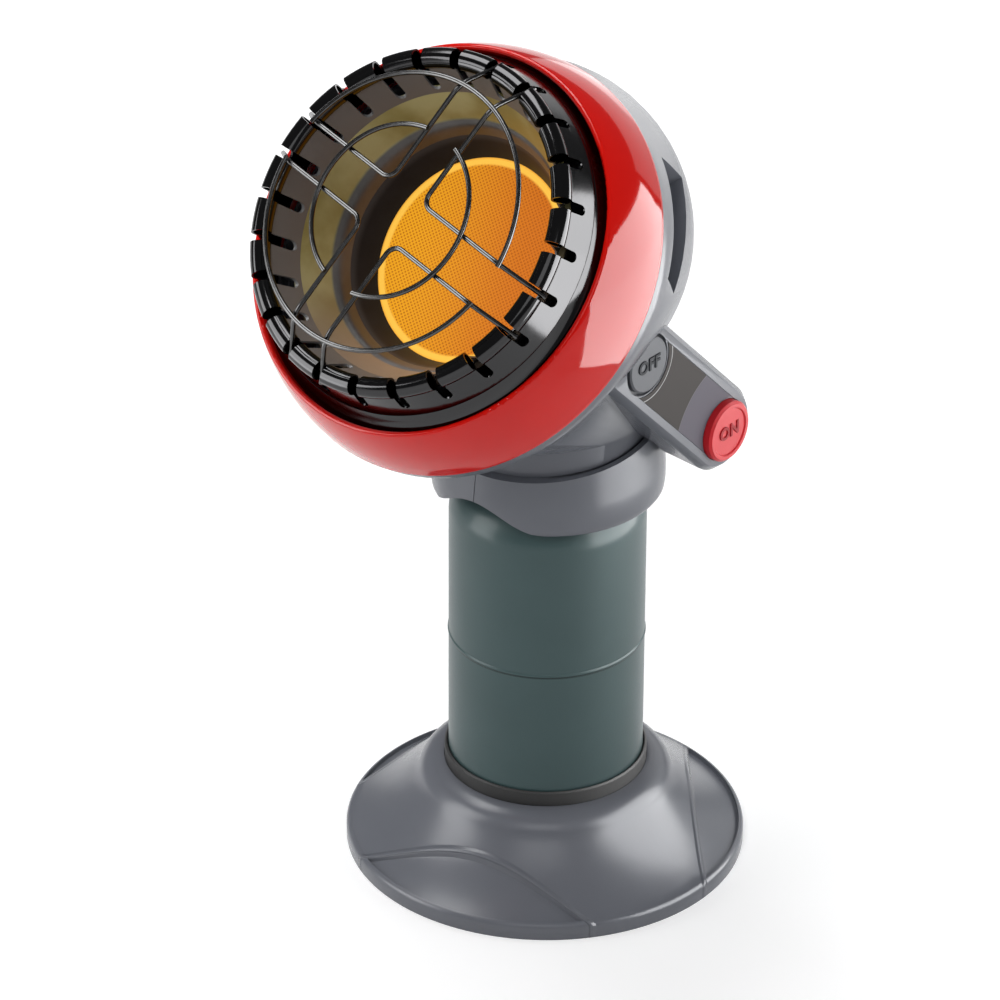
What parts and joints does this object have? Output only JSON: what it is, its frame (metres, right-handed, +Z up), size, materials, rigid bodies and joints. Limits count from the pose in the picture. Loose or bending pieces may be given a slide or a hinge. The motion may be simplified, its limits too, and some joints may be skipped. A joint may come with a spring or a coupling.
{
  "type": "portable propane heater",
  "caption": "Portable radiant heater: a tilted burner head with a slotted reflector and wire guard, screwed onto a disposable gas cylinder that stands in a wide moulded foot.",
  "frame": {"origin": "on the floor under the gas cylinder's axis, in the plane of the foot's underside", "axes": "+Z up along the gas cylinder's axis; the burner faces -Y and is tilted up; +X is the side of the control pod"},
  "size_m": [0.2124, 0.2652, 0.4577],
  "materials": {
    "grey_plastic": "satin, fine texture",
    "black_rubber": "matt",
    "cylinder_paint": "satin paint",
    "brass": "turned",
    "steel": "plain sheet",
    "cast_zinc": "die cast",
    "copper": "drawn tube",
    "fibre": "fibre gasket",
    "ceramic": "glowing perforated ceramic",
    "dark_steel": "heat-darkened",
    "dish_steel": "heat-tinted olive",
    "rim_chrome": "polished",
    "red_plastic": "high gloss",
    "label_film": "printed film",
    "red_button": "satin",
    "grey_button": "satin",
    "black_plastic": "satin",
    "white_plastic": "satin",
    "red_lead": "insulated lead",
    "white_ceramic": "glazed ceramic",
    "guard_chrome": "plated wire"
  },
  "bodies": {
    "foot": {"foot_base": "grey_plastic", "socket_liner": "black_rubber"},
    "cylinder": {"gas_cylinder": "cylinder_paint", "cylinder_valve": "brass", "valve_core": "steel"},
    "seal": {"inlet_seal": "black_rubber"},
    "head": {"regulator_body": "cast_zinc", "diaphragm": "black_rubber", "regulator_spring": "steel", "regulator_cap": "cast_zinc", "supply_tube": "copper", "valve_body": "brass", "burner_tube": "copper", "jet_holder": "brass", "mixer_tube": "steel", "burner_cup": "steel", "tile_gasket": "fibre", "ceramic_tile": "ceramic", "tile_frame": "dark_steel", "reflector_dish": "dish_steel", "slotted_rim": "rim_chrome", "heat_shield": "steel", "bezel_ring": "red_plastic", "rear_housing": "grey_plastic", "label_plate": "label_film", "off_switch": "black_plastic", "piezo_igniter": "black_plastic", "igniter_lead": "red_lead", "electrode": "white_ceramic", "thermocouple": "copper", "tip_switch": "white_plastic", "guard_legs": "guard_chrome", "guard_outer_ring": "guard_chrome", "guard_inner_ring": "guard_chrome", "collar_left": "grey_plastic", "collar_right": "grey_plastic", "collar_screws": "steel", "shield_screws": "steel"},
    "on_button": {"on_button": "red_button"},
    "valve_stem": {"valve_stem": "steel"},
    "spark_plunger": {"igniter_plunger": "white_plastic"},
    "off_button": {"off_button": "grey_button"},
    "switch_plunger": {"switch_plunger": "red_button"}
  },
  "joints": [
    {"name": "cylinder_lift", "type": "slide", "parent": "foot", "child": "cylinder", "axis": [0, 0, 1], "range_m": [0, 0.06]},
    {"name": "head_rise", "type": "slide", "parent": "cylinder", "child": "seal", "axis": [0, 0, 1], "range_m": [0, 0.0058]},
    {"name": "head_unscrew", "type": "hinge", "parent": "seal", "child": "head", "pos_m": [0, 0, 0.223], "axis": [0, 0, 1], "range_deg": [0, 1620]},
    {"name": "on_press", "type": "slide", "parent": "head", "child": "on_button", "axis": [-1, 0, 0], "range_m": [0, 0.006], "stiffness_N_per_m": 400, "springref_m": -0.004},
    {"name": "valve_open", "type": "slide", "parent": "head", "child": "valve_stem", "axis": [-1, 0, 0], "range_m": [0, 0.006]},
    {"name": "spark_press", "type": "slide", "parent": "head", "child": "spark_plunger", "axis": [-1, 0, 0], "range_m": [0, 0.006]},
    {"name": "off_press", "type": "slide", "parent": "head", "child": "off_button", "axis": [-1, 0, 0], "range_m": [0, 0.004], "stiffness_N_per_m": 400, "springref_m": -0.004},
    {"name": "switch_press", "type": "slide", "parent": "head", "child": "switch_plunger", "axis": [-1, 0, 0], "range_m": [0, 0.004]}
  ],
  "couplings": [
    {"joint": "head_rise", "follows": "head_unscrew", "m_per_rad": 0.00020212},
    {"joint": "valve_open", "follows": "on_press", "ratio": 1},
    {"joint": "spark_press", "follows": "on_press", "ratio": 1},
    {"joint": "switch_press", "follows": "off_press", "ratio": 1}
  ]
}
